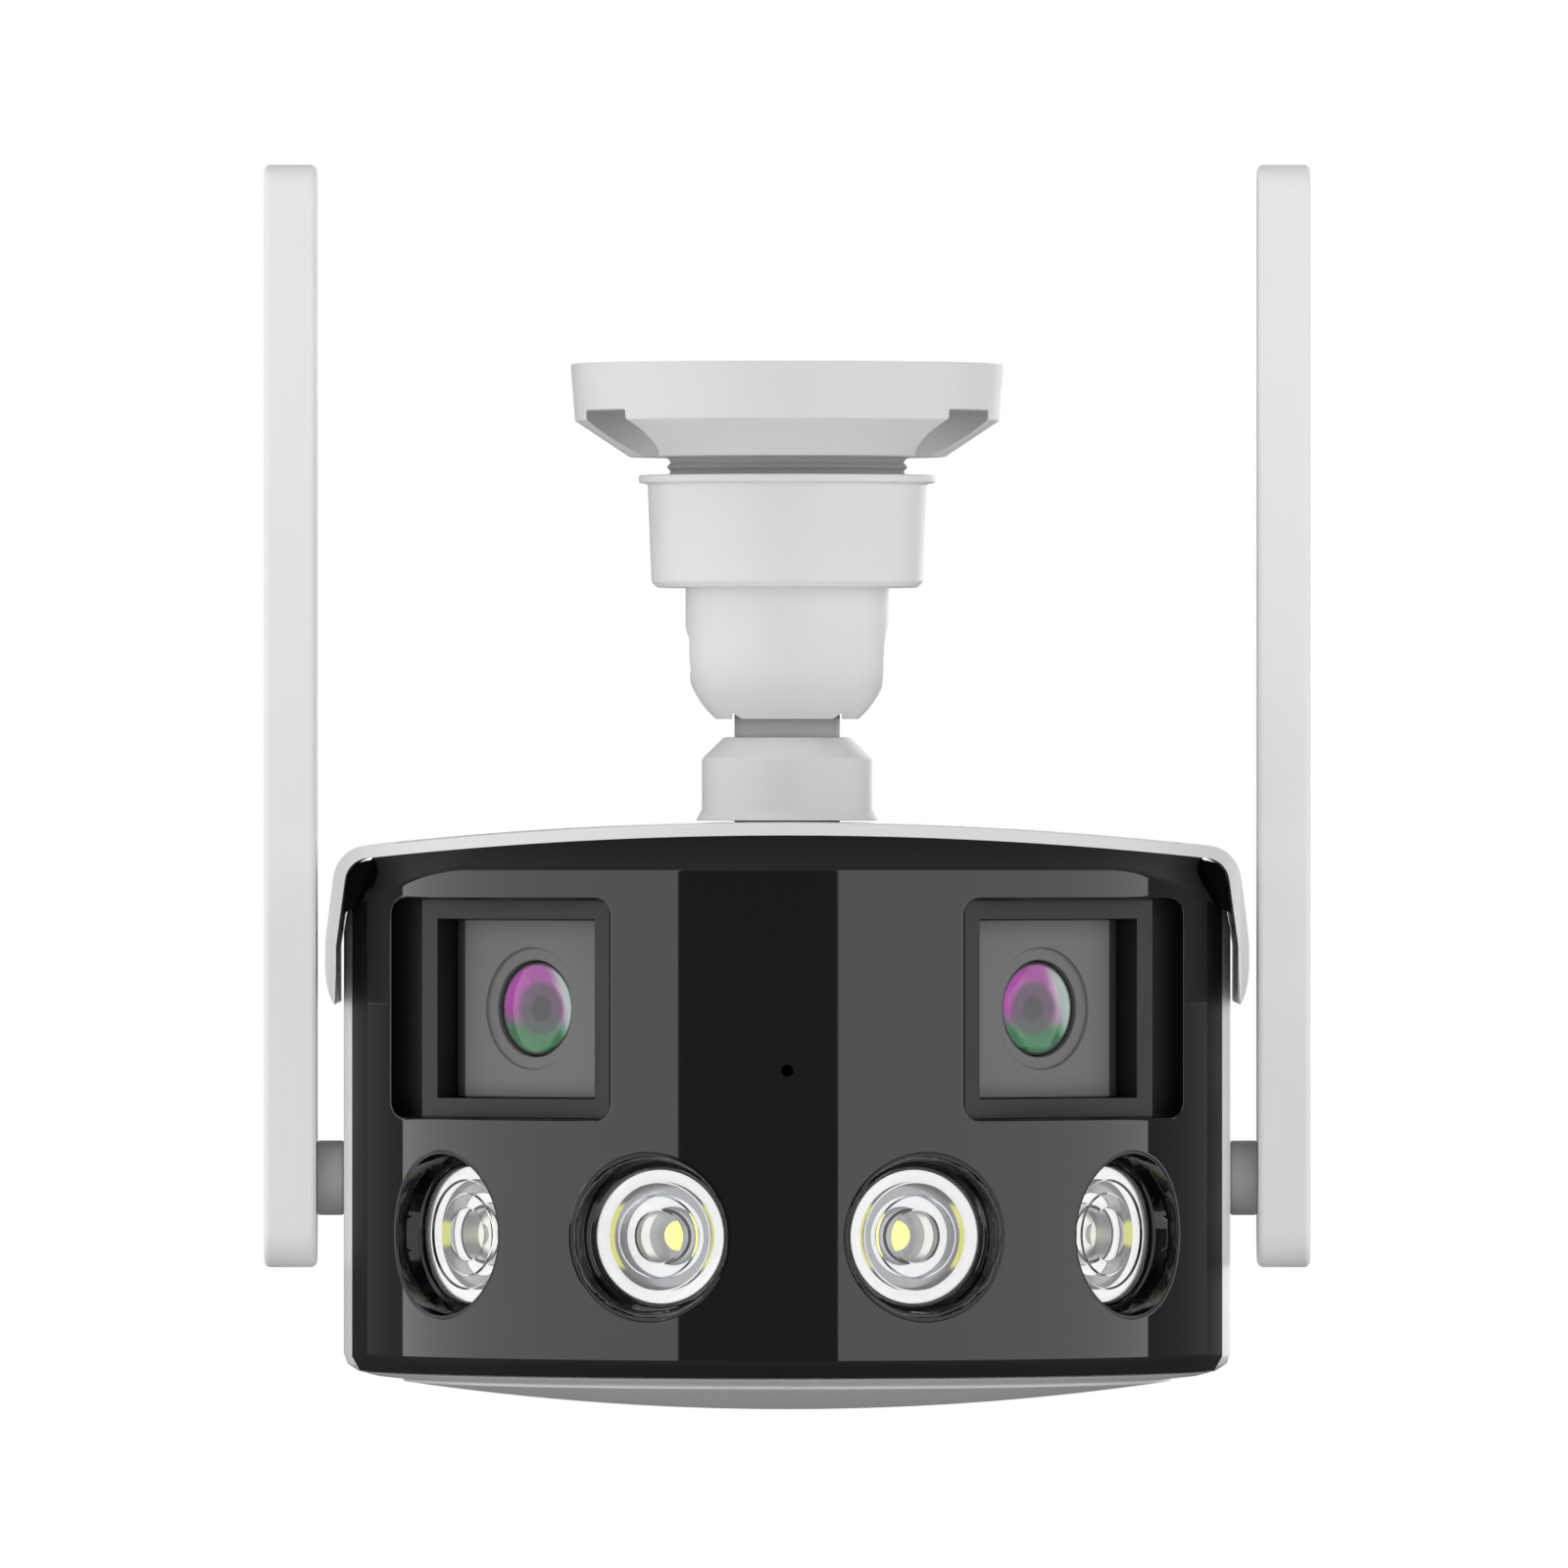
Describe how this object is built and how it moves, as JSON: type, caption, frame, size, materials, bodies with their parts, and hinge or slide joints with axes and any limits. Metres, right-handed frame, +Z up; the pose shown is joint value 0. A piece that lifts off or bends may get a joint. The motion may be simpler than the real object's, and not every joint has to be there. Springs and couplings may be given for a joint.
{
  "type": "floodlight security camera",
  "caption": "Ceiling-mounted dual-lens security camera with LED floodlights behind a curved black front, an arched sunshield, swinging antennas and a three-way bracket.",
  "frame": {"origin": "centre of the bracket's ceiling face", "axes": "+Z up, out of the ceiling face; the camera's front looks along -Y; +X is to the right of someone facing the front"},
  "size_m": [0.1666, 0.1208, 0.198],
  "materials": {
    "bracket_white": "moulded ABS, satin",
    "housing_white": "moulded ABS, satin",
    "antenna_white": "moulded ABS, fine matt grain",
    "stem_grey": "moulded nylon",
    "hub_grey": "moulded nylon",
    "nylon_grey": "moulded nylon",
    "gasket_rubber": "moulded silicone rubber",
    "plated_steel": "zinc plated",
    "panel_black": "polished acrylic",
    "frame_grey": "fine spark-eroded grain",
    "plate_grey": "fine matt paint",
    "barrel_black": "matt",
    "coated_glass": "polished, purple-green coating",
    "filter_glass": "polished",
    "circuit_board": "solder mask",
    "lamp_board": "white solder mask",
    "cup_black": "polished",
    "clear_acrylic": "polished",
    "can_aluminium": "extruded",
    "speaker_black": "matt",
    "gland_black": "moulded nylon",
    "button_grey": "moulded"
  },
  "bodies": {
    "mount": {"mount_base": "bracket_white", "base_gasket": "gasket_rubber", "friction_washer": "nylon_grey"},
    "clamp": {"clamp_nut": "bracket_white"},
    "arm": {"swivel_arm": "bracket_white", "tilt_screw": "plated_steel", "tilt_nut": "plated_steel"},
    "stem": {"tilt_stem": "stem_grey", "stem_clip": "plated_steel"},
    "collar": {"lock_collar": "bracket_white"},
    "camera": {"sunshield": "housing_white", "sunshield_screws": "plated_steel", "housing_shell": "housing_white", "front_panel": "panel_black", "bottom_cover": "housing_white", "rear_cover": "housing_white", "rear_gasket": "gasket_rubber", "rear_screws": "plated_steel", "mic_boot": "gasket_rubber", "mic_capsule": "can_aluminium", "speaker": "speaker_black", "main_board": "circuit_board", "heat_sink": "can_aluminium", "cable_gland": "gland_black", "gland_nut": "gland_black", "service_cover": "housing_white", "service_screws": "plated_steel", "switch_body": "gland_black", "window_frame_left": "frame_grey", "lens_plate_left": "plate_grey", "lens_barrel_left": "barrel_black", "lens_glass_left": "coated_glass", "lens_holder_left": "barrel_black", "sensor_board_left": "circuit_board", "window_frame_right": "frame_grey", "lens_plate_right": "plate_grey", "lens_barrel_right": "barrel_black", "lens_glass_right": "coated_glass", "lens_holder_right": "barrel_black", "sensor_board_right": "circuit_board", "led_cup_1": "cup_black", "led_lens_1": "clear_acrylic", "led_board_1": "lamp_board", "led_cup_2": "cup_black", "led_lens_2": "clear_acrylic", "led_board_2": "lamp_board", "led_cup_3": "cup_black", "led_lens_3": "clear_acrylic", "led_board_3": "lamp_board", "led_cup_4": "cup_black", "led_lens_4": "clear_acrylic", "led_board_4": "lamp_board"},
    "blade_left": {"antenna_left": "antenna_white", "antenna_hub_left": "hub_grey"},
    "blade_right": {"antenna_right": "antenna_white", "antenna_hub_right": "hub_grey"},
    "button": {"reset_button": "button_grey"},
    "filter_left": {"ir_filter_left": "filter_glass"},
    "filter_right": {"ir_filter_right": "filter_glass"}
  },
  "joints": [
    {"name": "clamp_turn", "type": "hinge", "parent": "mount", "child": "clamp", "pos_m": [0, 0, -0.026], "axis": [0, 0, 1], "range_deg": [0, 180]},
    {"name": "pan", "type": "hinge", "parent": "mount", "child": "arm", "pos_m": [0, 0, -0.02], "axis": [0, 0, 1], "range_deg": [-175, 175]},
    {"name": "tilt", "type": "hinge", "parent": "arm", "child": "stem", "pos_m": [0, 0, -0.046], "axis": [1, 0, 0], "range_deg": [0, 75]},
    {"name": "collar_turn", "type": "hinge", "parent": "stem", "child": "collar", "pos_m": [0, 0, -0.066], "axis": [0, 0, 1], "range_deg": [0, 180]},
    {"name": "camera_turn", "type": "hinge", "parent": "stem", "child": "camera", "pos_m": [0, 0, -0.08], "axis": [0, 0, 1], "range_deg": [-175, 175]},
    {"name": "antenna_left_swing", "type": "hinge", "parent": "camera", "child": "blade_left", "pos_m": [-0.075, 0.027, -0.1293], "axis": [1, 0, 0], "range_deg": [-90, 180]},
    {"name": "antenna_right_swing", "type": "hinge", "parent": "camera", "child": "blade_right", "pos_m": [0.075, 0.027, -0.1293], "axis": [1, 0, 0], "range_deg": [-90, 180]},
    {"name": "reset_press", "type": "slide", "parent": "camera", "child": "button", "axis": [0, 0, 1], "range_m": [0, 0.0003], "stiffness_N_per_m": 800},
    {"name": "filter_left_slide", "type": "slide", "parent": "camera", "child": "filter_left", "axis": [-0.766, 0.6428, 0], "range_m": [0, 0.005]},
    {"name": "filter_right_slide", "type": "slide", "parent": "camera", "child": "filter_right", "axis": [0.766, 0.6428, 0], "range_m": [0, 0.005]}
  ],
  "couplings": [
    {"joint": "filter_right_slide", "follows": "filter_left_slide", "ratio": 1}
  ]
}
